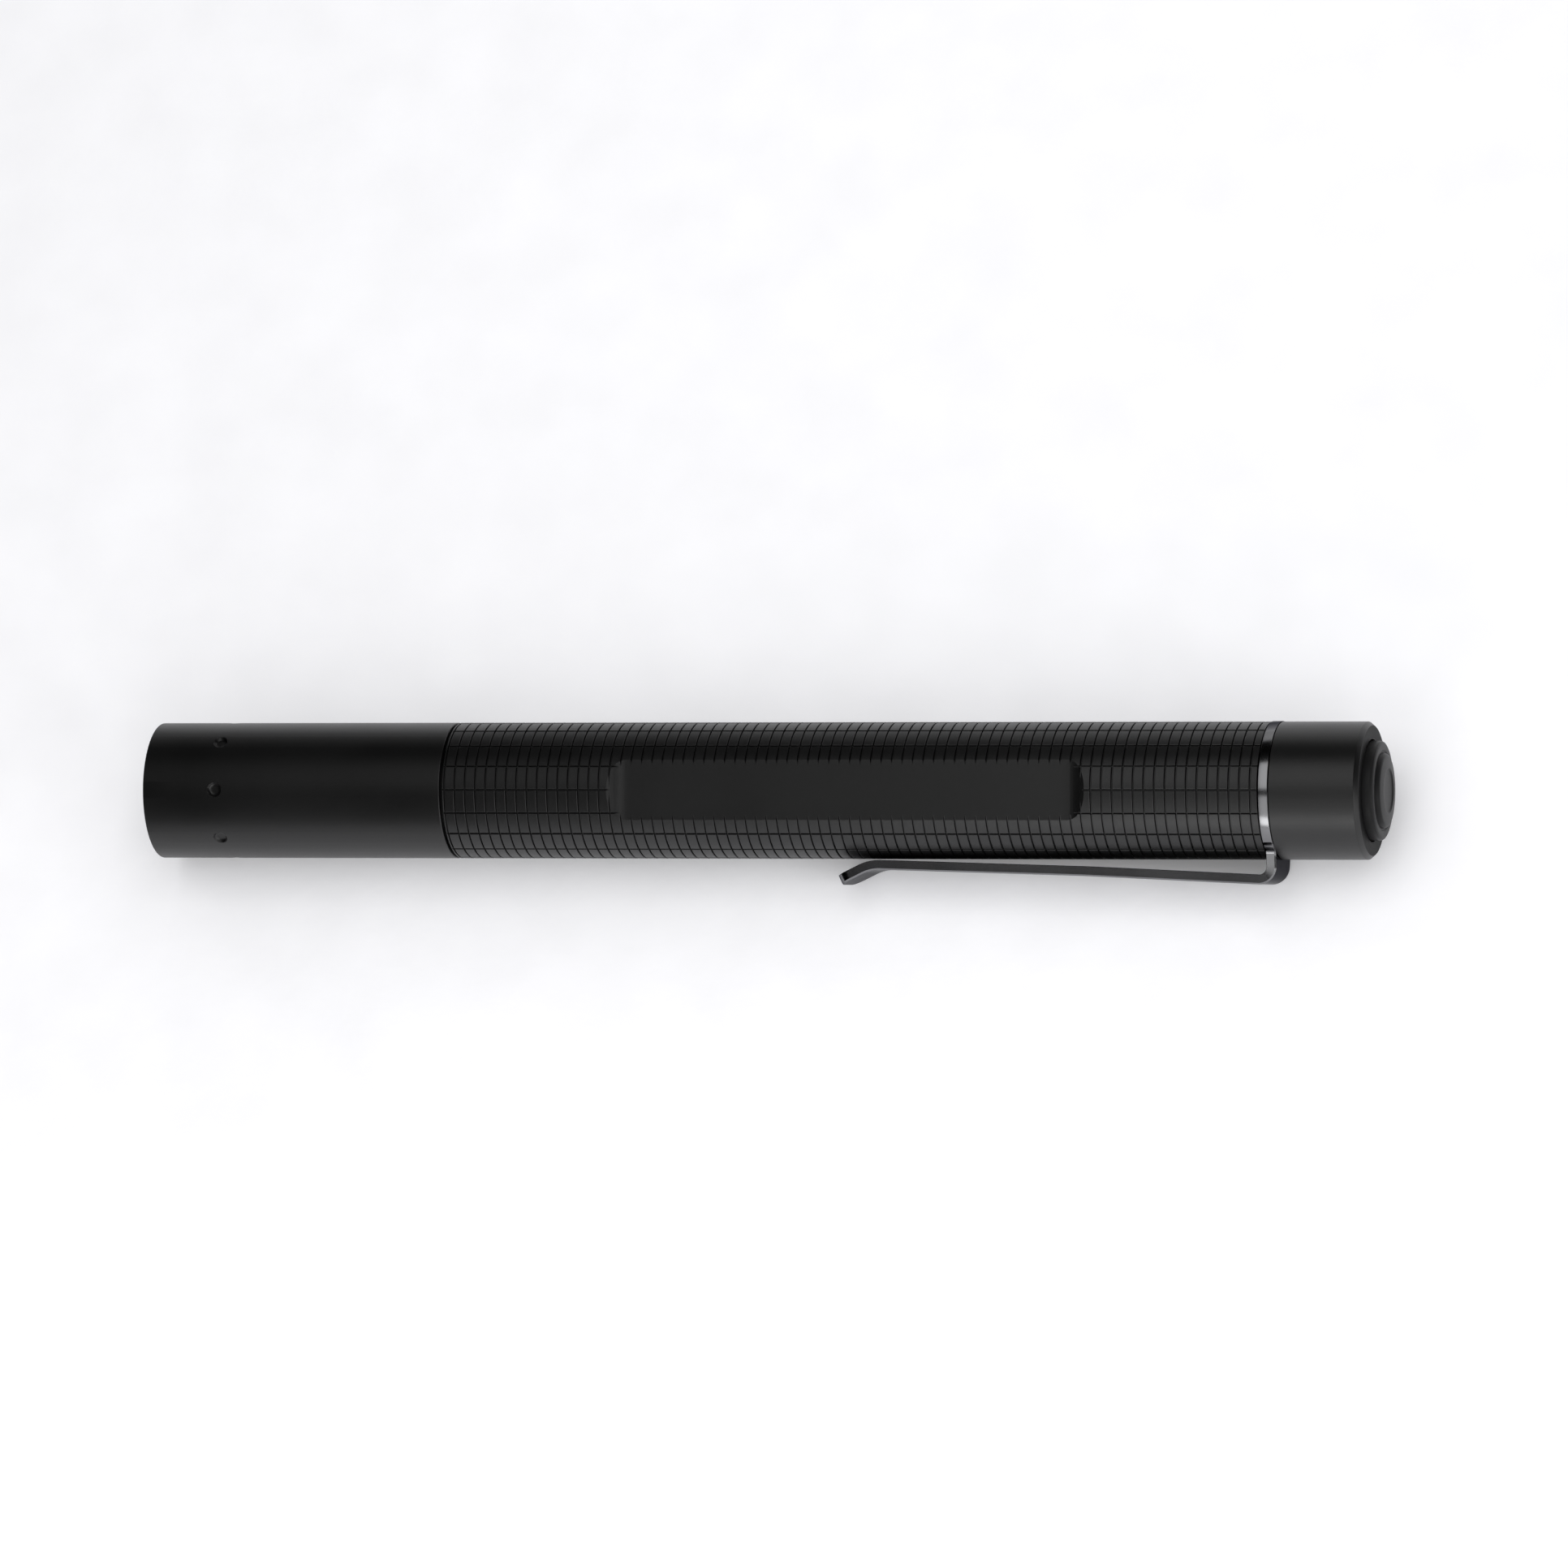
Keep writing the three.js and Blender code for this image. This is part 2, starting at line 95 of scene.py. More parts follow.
HEAD_END = along("head_shell")[1]
HEAD_BORE_R = 6.35
HEAD_RINGS = (3.0, 20.0)  # plain rings of the barrel, before and behind the dimples
WINDOW_R = 5.75
WINDOW_DEPTH = 3.3
DIMPLES = 8
DIMPLE_X = 7.8
DIMPLE_R = 0.72
DIMPLE_DEPTH = 0.3
DIMPLE_STEP = 2 * math.pi / DIMPLES
DIMPLE_ROW = 0.06
DIMPLE_COLUMN = math.radians(0.5)
DIMPLE_REACH = 14  # rows, and columns, on each side of a dimple's middle
DIMPLE_LANDS = 10  # wide columns between one dimple and the next

LENS_FRONT = 1.1
LENS_FLANGE = (3.9, 5.3)
LENS_DOME_R = 5.4
LENS_FLANGE_R = 6.05

TUBE_START, TUBE_END = along("battery_tube")
GRIP_START = TUBE_START + 0.1
CELL_BORE = (41.2, 108.5)  # where the narrower bore round the cells starts and ends
RING_GROOVES = 78
GROOVE_PITCH = 1.1024
FIRST_GROOVE = TUBE_START + 0.23
LONG_GROOVES = 18
LONG_GROOVE_STEP = 2 * math.pi / LONG_GROOVES
GROOVE_HALF_WIDTHS = (0.12, 0.08, 0.03)  # at its mouth, under its chamfered edge and at its floor
GROOVE_DEPTHS = (0.0, 0.025, 0.2)
FLAT_SPAN = (51.9, 98.4)
FLAT_HEIGHT = 6.28
FLAT_RUN_OUT_R = 3.0
TUBE_BORE_R = 5.5
THREAD_BORE_R = 6.4

RING_END = TUBE_END + 1.1
RING_START = RING_END - 0.98
RING_R = BODY_R + 0.06
CLIP_SHEET = 1.0
CLIP_HALF_WIDTH = 3.0
CLIP_ROOT_FLARE = math.radians(9)
CLIP_FLARE_FROM = math.radians(133)  # the strip's direction near the middle of the root bend
CLIP_FILLET_HEIGHT = 6.5
CLIP_LEG = (5.4, 7.4)  # heights between which it runs straight out through the ring
CLIP_BEND_R = 0.85
CLIP_ROOT_HEIGHT = 8.5
CLIP_KINK = (99.3, 7.69)
CLIP_KINK_REACH = 1.0
CLIP_TOUCH = (77.8, 7.1)
CLIP_TIP_ANGLE = math.radians(26)
CLIP_TIP_R = 5.0
CLIP_TIP_X = 73.3
CLIP_TIP_CORNER = 1.2
CLIP_TIP_CUT = 0.97  # share of the corner's round that is taken off the half width
CLIP_EDGES = (0.04, 0.16)  # bevel along the inner and the outer face

CAP_START = RING_END + 0.06
CAP_END = along("tail_cap")[1]
SPIGOT_R = 6.1
SPIGOT_START = along("tail_cap")[0]
CAP_BORE_R = 5.55
CAP_SEAL_GROOVE = (117.15, 118.05)
CAP_SEAL_GROOVE_R = 5.85
CAP_CHAMFER = (0.45, 0.4)  # its length along the light, and its height
CAP_LIP_START = 125.5
CAP_MOUTH_R = 5.2
THREAD_SPAN = (109.3, 116.4)
THREAD_PITCH = 1.0
THREAD_HEIGHT = 0.22
THREAD_SINK = 0.4  # share of its height that is below the spigot's surface
THREAD_FADE = 0.8  # length over which it rises from nothing at each end
THREAD_ROWS = 71
END_FACING = 0.9  # a face of the cap gets the painted shade of the end, a darker-reflecting copy of the black, when its normal runs this much along the light
BUTTON_R = 5.05
BUTTON_START = along("button")[0]
BUTTON_END = along("button")[1]


# ---- Mesh helpers -------------------------------------------------------------------------------
def rounded(outline, steps=ARC_STEPS):
    """The outline with each corner that has a third value rounded off over that length."""
    points = []
    for i, corner in enumerate(outline):
        here = Vector(corner[:2])
        if len(corner) == 2:
            points.append(here)
            continue
        before = Vector(outline[i - 1][:2]) - here
        after = Vector(outline[(i + 1) % len(outline)][:2]) - here
        for k in range(steps + 1):
            t = k / steps
            cut = before.normalized() * (1 - t) ** 2 + after.normalized() * t ** 2
            points.append(here + cut * corner[2])
    return points


def even_angles(count=SEGMENTS):
    return [2 * math.pi * k / count for k in range(count)]


def off_nearest(angle, step):
    """How far the angle is past the nearest whole number of steps."""
    return (angle + step / 2) % step - step / 2


def dome(front, base, radius, steps):
    """Outline points of half an ellipse, from its top on the axis out to its base."""
    quarter = [math.pi / 2 * k / steps for k in range(steps + 1)]
    return [(front + (base - front) * (1 - math.cos(t)), radius * math.sin(t)) for t in quarter]


def turned(outline, angles=None, relief=None):
    """A bmesh of the closed outline of (x, radius) points, turned about the light's axis.
    relief(x, radius, angle) gives a point's own radius, for what isn't the same all round."""
    angles = angles or even_angles()
    bm = bmesh.new()
    rings = []
    for x, r in outline:
        if r < SAME:
            rings.append([bm.verts.new((x, 0, 0))])
            continue
        ring = []
        for angle in angles:
            own = relief(x, r, angle) if relief else r
            ring.append(bm.verts.new((x, own * math.cos(angle), own * math.sin(angle))))
        rings.append(ring)
    closed = len(rings[0]) > 1
    for i in range(len(rings) if closed else len(rings) - 1):
        bridge(bm, rings[i], rings[(i + 1) % len(rings)])
    bmesh.ops.recalc_face_normals(bm, faces=bm.faces)
    return bm


def bridge(bm, a, b):
    """Faces between two rings of vertices, either of which may be a single point."""
    count = max(len(a), len(b))
    for k in range(count if count > 1 else 0):
        after = (k + 1) % count
        corners = [a[k % len(a)], a[after % len(a)], b[after % len(b)], b[k % len(b)]]
        bm.faces.new(list(dict.fromkeys(corners)))


def plain_object(name, bm):
    mesh = bpy.data.meshes.new(name)
    bm.to_mesh(mesh)
    bm.free()
    made = bpy.data.objects.new(name, mesh)
    bpy.context.scene.collection.objects.link(made)
    return made


def swept(name, sections):
    """An object skinned over sections of equally many points, and closed at both ends."""
    bm = bmesh.new()
    rings = [[bm.verts.new(place) for place in section] for section in sections]
    for a, b in zip(rings, rings[1:]):
        bridge(bm, a, b)
    bm.faces.new(rings[0])
    bm.faces.new(rings[-1])
    bmesh.ops.recalc_face_normals(bm, faces=bm.faces)
    return plain_object(name, bm)


def combined(target, tool, operation):
    """target's mesh joined with, or cut by, tool, which is used up."""
    modifier = target.modifiers.new("join", "BOOLEAN")
    modifier.operation = operation
    modifier.solver = "EXACT"
    modifier.object = tool
    graph = bpy.context.evaluated_depsgraph_get()
    result = bpy.data.meshes.new_from_object(target.evaluated_get(graph))
    target.modifiers.clear()
    target.data = result
    bpy.data.objects.remove(tool)


def finished(piece, material, nodes, body=None, even=True, sharp=SHARP_ANGLE):
    """Shades a piece, places it, and ties it to the frame."""
    mesh = piece.data
    mesh.transform(PLACE)
    mesh.shade_smooth()
    mesh.set_sharp_from_angle(angle=sharp)
    mesh.materials.clear()
    mesh.materials.append(material)
    if even:
        modifier = piece.modifiers.new("even_shading", "WEIGHTED_NORMAL")
        modifier.keep_sharp = True
    if body:
        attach(piece, body)
    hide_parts(*nodes)
    return piece


def add_turned(name, outline, material, slot, nodes, body, **shape):
    piece = plain_object(name, turned(rounded(outline), **shape))
    return finished(piece, material, nodes, body)


# ---- Materials ----------------------------------------------------------------------------------
def node(tree, kind, inputs=None, **settings):
    made = tree.nodes.new(kind)
    for key, value in settings.items():
        setattr(made, key, value)
    for key, value in (inputs or {}).items():
        if isinstance(value, bpy.types.NodeSocket):
            tree.links.new(value, made.inputs[key])
        else:
            made.inputs[key].default_value = value
    return made


def finish_of(name, dark, light, rough, grain_mm, bump, sockets=None, brushed=0.0, mottle_mm=9.0):
    """A procedural finish: colour drifts between dark and light, roughness with a fine grain, and a bump.
    brushed stretches the grain along the turning direction, as a lathe or brush leaves it."""
    material = bpy.data.materials.new(name)
    material.use_nodes = True
    tree = material.node_tree
    tree.nodes.clear()
    place = node(tree, "ShaderNodeTexCoord").outputs["Object"]
    stretch = node(tree, "ShaderNodeMapping", {"Vector": place, "Scale": (1 + brushed, 1, 1)})
    broad = node(tree, "ShaderNodeTexNoise", {"Vector": place, "Scale": 1 / (mottle_mm * MM), "Detail": 3.0})
    fine = node(
        tree,
        "ShaderNodeTexNoise",
        {"Vector": stretch.outputs["Vector"], "Scale": 1 / (grain_mm * MM), "Detail": 2.0},
    )
    both = node(
        tree,
        "ShaderNodeMath",
        {0: broad.outputs["Fac"], 1: fine.outputs["Fac"]},
        operation="MULTIPLY",
    )
    colour = node(tree, "ShaderNodeValToRGB", {"Fac": broad.outputs["Fac"]})
    colour.color_ramp.elements[0].position = 0.3
    colour.color_ramp.elements[0].color = (*dark, 1)
    colour.color_ramp.elements[1].position = 0.7
    colour.color_ramp.elements[1].color = (*light, 1)
    gloss = node(
        tree,
        "ShaderNodeMapRange",
        {
            "Value": both.outputs["Value"],
            "From Min": 0.1,
            "From Max": 0.5,
            "To Min": rough[0],
            "To Max": rough[1],
        },
    )
    relief = node(
        tree,
        "ShaderNodeBump",
        {"Height": fine.outputs["Fac"], "Strength": bump, "Distance": grain_mm * MM},
    )
    shader = node(
        tree,
        "ShaderNodeBsdfPrincipled",
        {
            "Base Color": colour.outputs["Color"],
            "Roughness": gloss.outputs["Result"],
            "Normal": relief.outputs["Normal"],
            **(sockets or {}),
        },
    )
    node(tree, "ShaderNodeOutputMaterial", {"Surface": shader.outputs["BSDF"]})
    return material


def grey(value):
    return (value, value, value * 1.03)


ANODISED = finish_of("anodised_black", grey(0.002), grey(0.0032), (0.36, 0.44), 0.06, 0.1, {"IOR": 1.5})
# painted shade: a copy of the anodised black with a lower IOR, so the cap's end faces reflect less and look
# shaded
END_PAINTED_SHADE = finish_of("end_face_painted_shade", grey(0.004), grey(0.006), (0.5, 0.58), 0.06, 0.08, {"IOR": 1.2})
CLIP_BLACK = finish_of(
    "clip_black", grey(0.17), grey(0.2), (0.17, 0.21), 0.08, 0.01,
    {"Metallic": 1.0, "Specular Tint": (0.25, 0.25, 0.26, 1)}, 3.0,
)
BUTTON_BLACK = finish_of("button_black", grey(0.01), grey(0.014), (0.36, 0.44), 0.06, 0.12, {"IOR": 1.2})
RUBBER = finish_of("seal_rubber", grey(0.006), grey(0.012), (0.55, 0.7), 0.1, 0.2)
BRASS = finish_of(
    "turned_brass", (0.5, 0.34, 0.12), (0.62, 0.45, 0.18), (0.2, 0.34), 0.07, 0.15, {"Metallic": 1.0}, 6.0,
)
NICKEL = finish_of("nickel_plate", grey(0.5), grey(0.62), (0.16, 0.3), 0.1, 0.12, {"Metallic": 1.0}, 4.0)
GREEN = finish_of("board_green", (0.01, 0.08, 0.03), (0.015, 0.12, 0.045), (0.3, 0.42), 0.12, 0.1)
WHITE = finish_of("board_white", grey(0.66), grey(0.76), (0.35, 0.5), 0.12, 0.08)
PHOSPHOR = finish_of(
    "phosphor", (0.72, 0.5, 0.05), (0.85, 0.66, 0.12), (0.08, 0.16), 0.15, 0.05, {"IOR": 1.41},
)
PLASTIC = finish_of("moulded_plastic", grey(0.01), grey(0.016), (0.45, 0.6), 0.15, 0.2)
JACKET = finish_of(
    "cell_jacket", (0.05, 0.07, 0.1), (0.07, 0.1, 0.14), (0.2, 0.32), 0.2, 0.06, {"Metallic": 0.3},
)
GLASS = finish_of(
    "lens_glass", grey(0.93), grey(0.97), (0.01, 0.03), 0.3, 0.01, {"Transmission Weight": 1.0, "IOR": 1.5},
)


# ---- Focusing head ------------------------------------------------------------------------------
def dimple_relief(x, r, angle):
    """The outer surface with shallow dimples, flat in the middle, evenly spaced round it."""
    if r < BODY_R - SAME:
        return r
    away = math.hypot(x - DIMPLE_X, off_nearest(angle, DIMPLE_STEP) * BODY_R) / DIMPLE_R
    if away >= 1:
        return r
    return r - DIMPLE_DEPTH * (1 - away ** 6)


def dimple_angles():
    """Close columns across each dimple, and wide ones between."""
    edge = DIMPLE_REACH * DIMPLE_COLUMN
    wide = (DIMPLE_STEP - 2 * edge) / DIMPLE_LANDS
    angles = []
    for k in range(DIMPLES):
        middle = k * DIMPLE_STEP
        angles += [middle + DIMPLE_COLUMN * i for i in range(-DIMPLE_REACH, DIMPLE_REACH + 1)]
        angles += [middle + edge + wide * i for i in range(1, DIMPLE_LANDS)]
    return angles


def head_barrel():
    rows = [(DIMPLE_X + DIMPLE_ROW * i, BODY_R) for i in range(-DIMPLE_REACH, DIMPLE_REACH + 1)]
    outline = [
        (0, WINDOW_R, 0.1),
        (0, BODY_R, 0.14),
        (HEAD_RINGS[0], BODY_R),
        *rows,
        (HEAD_RINGS[1], BODY_R),
        (HEAD_END, BODY_R, 0.12),
        (HEAD_END, HEAD_BORE_R, 0.05),
        (WINDOW_DEPTH, HEAD_BORE_R),
        (WINDOW_DEPTH, WINDOW_R),
    ]
    add_turned(
        "head_barrel", outline, ANODISED, "black_anodised", ["head_shell"], "head",
        angles=dimple_angles(), relief=dimple_relief,
    )


def front_lens():
    start, end = LENS_FLANGE
    outline = [
        *dome(LENS_FRONT, start, LENS_DOME_R, steps=20),
        (start, LENS_FLANGE_R, 0.1),
        (end, LENS_FLANGE_R, 0.1),
        (end, 0),
    ]
    add_turned("front_lens", outline, GLASS, "lens_glass", ["lens"], "head")


def ring_piece(name, span, inner, outer, edge, material, slot, node_name, body):
    start, end = span
    outline = [(start, inner, edge), (start, outer, edge), (end, outer, edge), (end, inner, edge)]
    add_turned(name, outline, material, slot, [node_name], body)


def seal_piece(name, x, middle, half, node_name, body):
    """An O-ring: middle is its radius round the light, and half is half its thickness."""
    outline = [(x + half * math.cos(t), middle + half * math.sin(t)) for t in even_angles(SEAL_SIDES)]
    add_turned(name, outline, RUBBER, "seal_rubber", [node_name], body)


head_barrel()
front_lens()
ring_piece(
    "lens_seal", span=(3.35, 3.85), inner=5.8, outer=6.2, edge=0.08,
    material=RUBBER, slot="seal_rubber", node_name="lens_gasket", body="head",
)
ring_piece(
    "lens_retainer", span=(5.4, 6.35), inner=5.1, outer=6.2, edge=0.12,
    material=ANODISED, slot="black_anodised", node_name="lens_ring", body="head",
)


# ---- Front sleeve and light source --------------------------------------------------------------
def slide_sleeve():
    start, end = along("front_sleeve")
    mouth_r, bore_r, outer_r = 4.9, 5.5, 6.15
    mouth_end = 11.9
    groove_start, groove_end, groove_r = 7.9, 8.9, 5.5
    outline = [
        (start, mouth_r, 0.1),
        (start, outer_r, 0.12),
        (groove_start, outer_r, 0.06),
        (groove_start, groove_r),
        (groove_end, groove_r),
        (groove_end, outer_r, 0.06),
        (end, outer_r, 0.1),
        (end, bore_r),
        (mouth_end, bore_r),
        (mouth_end, mouth_r),
    ]
    add_turned("slide_sleeve", outline, ANODISED, "black_anodised", ["front_sleeve"], "tube")


def led_parts():
    front, back, star_r = 10.9, 11.8, 4.5
    star = [(front, 0), (front, star_r, 0.08), (back, star_r, 0.08), (back, 0)]
    add_turned("led_star", star, WHITE, "board_white", ["led_board"], "tube")
    top, base, dome_r = 8.75, 9.95, 1.3
    silicone = [*dome(top, base, dome_r, steps=12), (base, 0)]
    add_turned("led_silicone", silicone, PHOSPHOR, "phosphor", ["led_dome"], "tube")


slide_sleeve()
led_parts()
seal_piece("sleeve_seal", x=8.4, middle=5.93, half=0.36, node_name="sleeve_oring", body="tube")


# ---- Battery tube -------------------------------------------------------------------------------
def across_groove(middle, scale=1.0):
    """The places across one groove where its section turns."""
    wide, edge, floor = (half * scale for half in GROOVE_HALF_WIDTHS)
    return [middle - wide, middle - edge, middle - floor, middle + floor, middle + edge, middle + wide]


def groove_depth(away):
    """How deep the groove is at a distance from its middle."""
    stations = list(zip(GROOVE_HALF_WIDTHS, GROOVE_DEPTHS))
    if away >= stations[0][0]:
        return 0.0
    for (outer, shallow), (inner, deep) in zip(stations, stations[1:]):
        if away > inner:
            return shallow + (deep - shallow) * (outer - away) / (outer - inner)
    return GROOVE_DEPTHS[-1]


def grip_angles():
    """The columns across each lengthwise groove, and even ones over the land between two."""
    mouth = GROOVE_HALF_WIDTHS[0] / BODY_R
    land = LONG_GROOVE_STEP - 2 * mouth
    columns = 7
    angles = []
    for k in range(LONG_GROOVES):
        middle = k * LONG_GROOVE_STEP
        angles += across_groove(middle, 1 / BODY_R)
        angles += [middle + mouth + land * i / columns for i in range(1, columns)]
    return angles


def grip_relief(x, r, angle):
    """The outer surface, lowered by whichever of the crossing grooves is the deeper there."""
    if r < BODY_R - SAME or not GRIP_START < x < TUBE_END:
        return r
    round_off = abs(off_nearest(angle, LONG_GROOVE_STEP)) * BODY_R
    nearest = min(max(round((x - FIRST_GROOVE) / GROOVE_PITCH), 0), RING_GROOVES - 1)
    along_off = abs(x - FIRST_GROOVE - nearest * GROOVE_PITCH)
    return r - max(groove_depth(round_off), groove_depth(along_off))


def flat_cutter():
    """A prism across the tube whose underside is the flat, with the cutter's arc at each end."""
    start, end = FLAT_SPAN
    centre = FLAT_HEIGHT + FLAT_RUN_OUT_R
    sweep = math.radians(75)
    steps = 12
    low = []
    for x, way in ((start, -1), (end, 1)):
        turns = [sweep * k / steps for k in range(steps + 1)]
        arc = [(way * math.sin(t), -math.cos(t)) for t in turns]
        side = [(x + FLAT_RUN_OUT_R * across, centre + FLAT_RUN_OUT_R * up) for across, up in arc]
        low += side[::-1] if way < 0 else side
    outline = [*low, (low[-1][0], centre), (low[0][0], centre)]
    return swept("flat_cutter", [[(x, n, d) for x, n in outline] for d in (-BODY_R, BODY_R)])


def grip_tube():
    middles = [FIRST_GROOVE + i * GROOVE_PITCH for i in range(RING_GROOVES)]
    rows = [(x, BODY_R) for middle in middles for x in across_groove(middle)]
    cells_start, cells_end = CELL_BORE
    outline = [
        (TUBE_START, HEAD_BORE_R),
        (TUBE_START, BODY_R, 0.06),
        *rows,
        (TUBE_END, BODY_R, 0.05),
        (TUBE_END, THREAD_BORE_R, 0.05),
        (cells_end, THREAD_BORE_R),
        (cells_end, TUBE_BORE_R),
        (cells_start, TUBE_BORE_R),
        (cells_start, HEAD_BORE_R),
    ]
    piece = plain_object("grip_tube", turned(rounded(outline), grip_angles(), grip_relief))
    combined(piece, flat_cutter(), "DIFFERENCE")
    finished(piece, ANODISED, ["battery_tube"], "tube", even=False, sharp=GRIP_SHARP_ANGLE)


grip_tube()


# ---- Pocket clip --------------------------------------------------------------------------------
def clip_path():
    """Points of the clip's inner face as (x, height, direction), from inside the ring to the tip.
    The direction is the angle that the strip runs in, counted from +x towards greater height."""
    leg_steps, bend_steps, arm_steps, curl_steps, tip_steps = 10, 16, 11, 8, 10
    leg = math.pi / 2
    low, high = CLIP_LEG
    path = [(RING_START, low + (high - low) * k / leg_steps, leg) for k in range(leg_steps + 1)]
    bend = (RING_START - CLIP_BEND_R, CLIP_ROOT_HEIGHT - CLIP_BEND_R)
    slope = math.atan2(CLIP_ROOT_HEIGHT - CLIP_KINK[1], bend[0] - CLIP_KINK[0])
    for k in range(bend_steps + 1):
        t = (leg + slope) * k / bend_steps
        path.append((bend[0] + CLIP_BEND_R * math.cos(t), bend[1] + CLIP_BEND_R * math.sin(t), leg + t))
    flatter = math.atan2(CLIP_KINK[1] - CLIP_TOUCH[1], CLIP_KINK[0] - CLIP_TOUCH[0])
    for k in range(1, arm_steps + 1):
        x = bend[0] + (CLIP_KINK[0] + CLIP_KINK_REACH - bend[0]) * k / arm_steps
        path.append((x, CLIP_ROOT_HEIGHT - (bend[0] - x) * math.tan(slope), math.pi + slope))
    path.append((*CLIP_KINK, math.pi + (slope + flatter) / 2))
    after = (CLIP_KINK[0] - CLIP_KINK_REACH, CLIP_KINK[1] - CLIP_KINK_REACH * math.tan(flatter))
    path.append((*after, math.pi + flatter))
    middle = (CLIP_TOUCH[0], CLIP_TOUCH[1] + CLIP_TIP_R)
    for k in range(curl_steps + 1):
        t = flatter - (flatter + CLIP_TIP_ANGLE) * k / curl_steps
        path.append((middle[0] + CLIP_TIP_R * math.sin(t), middle[1] - CLIP_TIP_R * math.cos(t), math.pi + t))
    last = path[-1]
    length = (last[0] - CLIP_TIP_X) / math.cos(CLIP_TIP_ANGLE)
    for k in range(tip_steps + 1):
        s = length - CLIP_TIP_CORNER * (1 - math.sin(math.pi / 2 * k / tip_steps))
        path.append((last[0] - s * math.cos(CLIP_TIP_ANGLE), last[1] + s * math.sin(CLIP_TIP_ANGLE), last[2]))
    return path


def clip_half_widths(path):
    """Half the strip's width at each point: flared from the middle of the root bend to the ring, with a
    fillet where it meets the ring, and rounded off at the tip's corners."""
    run = [0.0]
    for a, b in zip(path, path[1:]):
        run.append(run[-1] + math.dist(a[:2], b[:2]))
    mitre = next(s for s, point in zip(run, path) if point[2] > CLIP_FLARE_FROM)
    widths = []
    for s, (_, height, _) in zip(run, path):
        flare = max(0.0, mitre - s) * math.tan(CLIP_ROOT_FLARE)
        fillet = max(0.0, CLIP_FILLET_HEIGHT - height) ** 2
        inside = max(0.0, CLIP_TIP_CORNER - (run[-1] - s))
        corner = CLIP_TIP_CORNER - math.sqrt(max(0.0, CLIP_TIP_CORNER ** 2 - inside ** 2))
        widths.append(CLIP_HALF_WIDTH + flare + fillet - CLIP_TIP_CUT * corner)
    return widths


def clip_strip():
    sections = []
    path = clip_path()
    inner, outer = CLIP_EDGES
    for (x, height, way), half in zip(path, clip_half_widths(path)):
        outward = (math.sin(way), -math.cos(way))
        section = [
            (-half + inner, 0),
            (half - inner, 0),
            (half, inner),
            (half, CLIP_SHEET - outer),
            (half - outer, CLIP_SHEET),
            (-half + outer, CLIP_SHEET),
            (-half, CLIP_SHEET - outer),
            (-half, inner),
        ]
        sections.append([(x + t * outward[0], n, height + t * outward[1]) for n, t in section])
    return swept("clip_strip", sections)


def pocket_clip():
    washer = [
        (RING_START, THREAD_BORE_R),
        (RING_START, RING_R, 0.05),
        (RING_END, RING_R, 0.05),
        (RING_END, THREAD_BORE_R),
    ]
    piece = plain_object("pocket_clip", turned(rounded(washer)))
    combined(piece, clip_strip(), "UNION")
    start, end = RING_START - CLIP_SHEET, RING_END + CLIP_SHEET
    bore = [(start, 0), (start, THREAD_BORE_R), (end, THREAD_BORE_R), (end, 0)]
    combined(piece, plain_object("clip_bore", turned(rounded(bore))), "DIFFERENCE")
    finished(piece, CLIP_BLACK, ["clip_ring", "clip_arm"])
    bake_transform(piece)


pocket_clip()


# ---- Tail cap, seal and button ------------------------------------------------------------------
def thread_relief(x, r, angle):
    """A right-hand thread over the spigot, fading in and out at its ends."""
    start, end = THREAD_SPAN
    if abs(r - SPIGOT_R) > SAME or not start < x < end:
        return r
    turn = (x / THREAD_PITCH - angle / (2 * math.pi)) % 1
    crest = 1 - abs(2 * turn - 1)
    flanks = min(1.0, max(0.0, crest * 1.6 - 0.3))  # cut off flat at its root and its crest
    fade = min(1.0, (x - start) / THREAD_FADE, (end - x) / THREAD_FADE)
    return r + THREAD_HEIGHT * fade * (flanks - THREAD_SINK)


def cap_shell():
    start, end = THREAD_SPAN
    rows = [(start + (end - start) * k / THREAD_ROWS, SPIGOT_R) for k in range(THREAD_ROWS + 1)]
    groove_start, groove_end = CAP_SEAL_GROOVE
    outline = [
        (SPIGOT_START, CAP_BORE_R, 0.1),
        (SPIGOT_START, SPIGOT_R - 0.15, 0.1),
        (SPIGOT_START + 0.3, SPIGOT_R),
        *rows,
        (groove_start, SPIGOT_R, 0.05),
        (groove_start, CAP_SEAL_GROOVE_R),
        (groove_end, CAP_SEAL_GROOVE_R),
        (groove_end, SPIGOT_R, 0.05),
        (CAP_START, SPIGOT_R),
        (CAP_START, BODY_R, 0.05),
        (CAP_END - CAP_CHAMFER[0], BODY_R, 0.06),
        (CAP_END, BODY_R - CAP_CHAMFER[1], 0.06),
        (CAP_END, CAP_MOUTH_R, 0.06),
        (CAP_LIP_START, CAP_MOUTH_R),
        (CAP_LIP_START, CAP_BORE_R),
    ]
    piece = add_turned(
        "cap_shell", outline, ANODISED, "black_anodised", ["tail_cap"], "tail_cap", relief=thread_relief,
    )
    # the end faces that point along the light get the painted shade, a dimmer-reflecting copy of the black
    piece.data.materials.append(END_PAINTED_SHADE)
    for face in piece.data.polygons:
        if face.normal.dot(ALONG) > END_FACING:
            face.material_index = 1


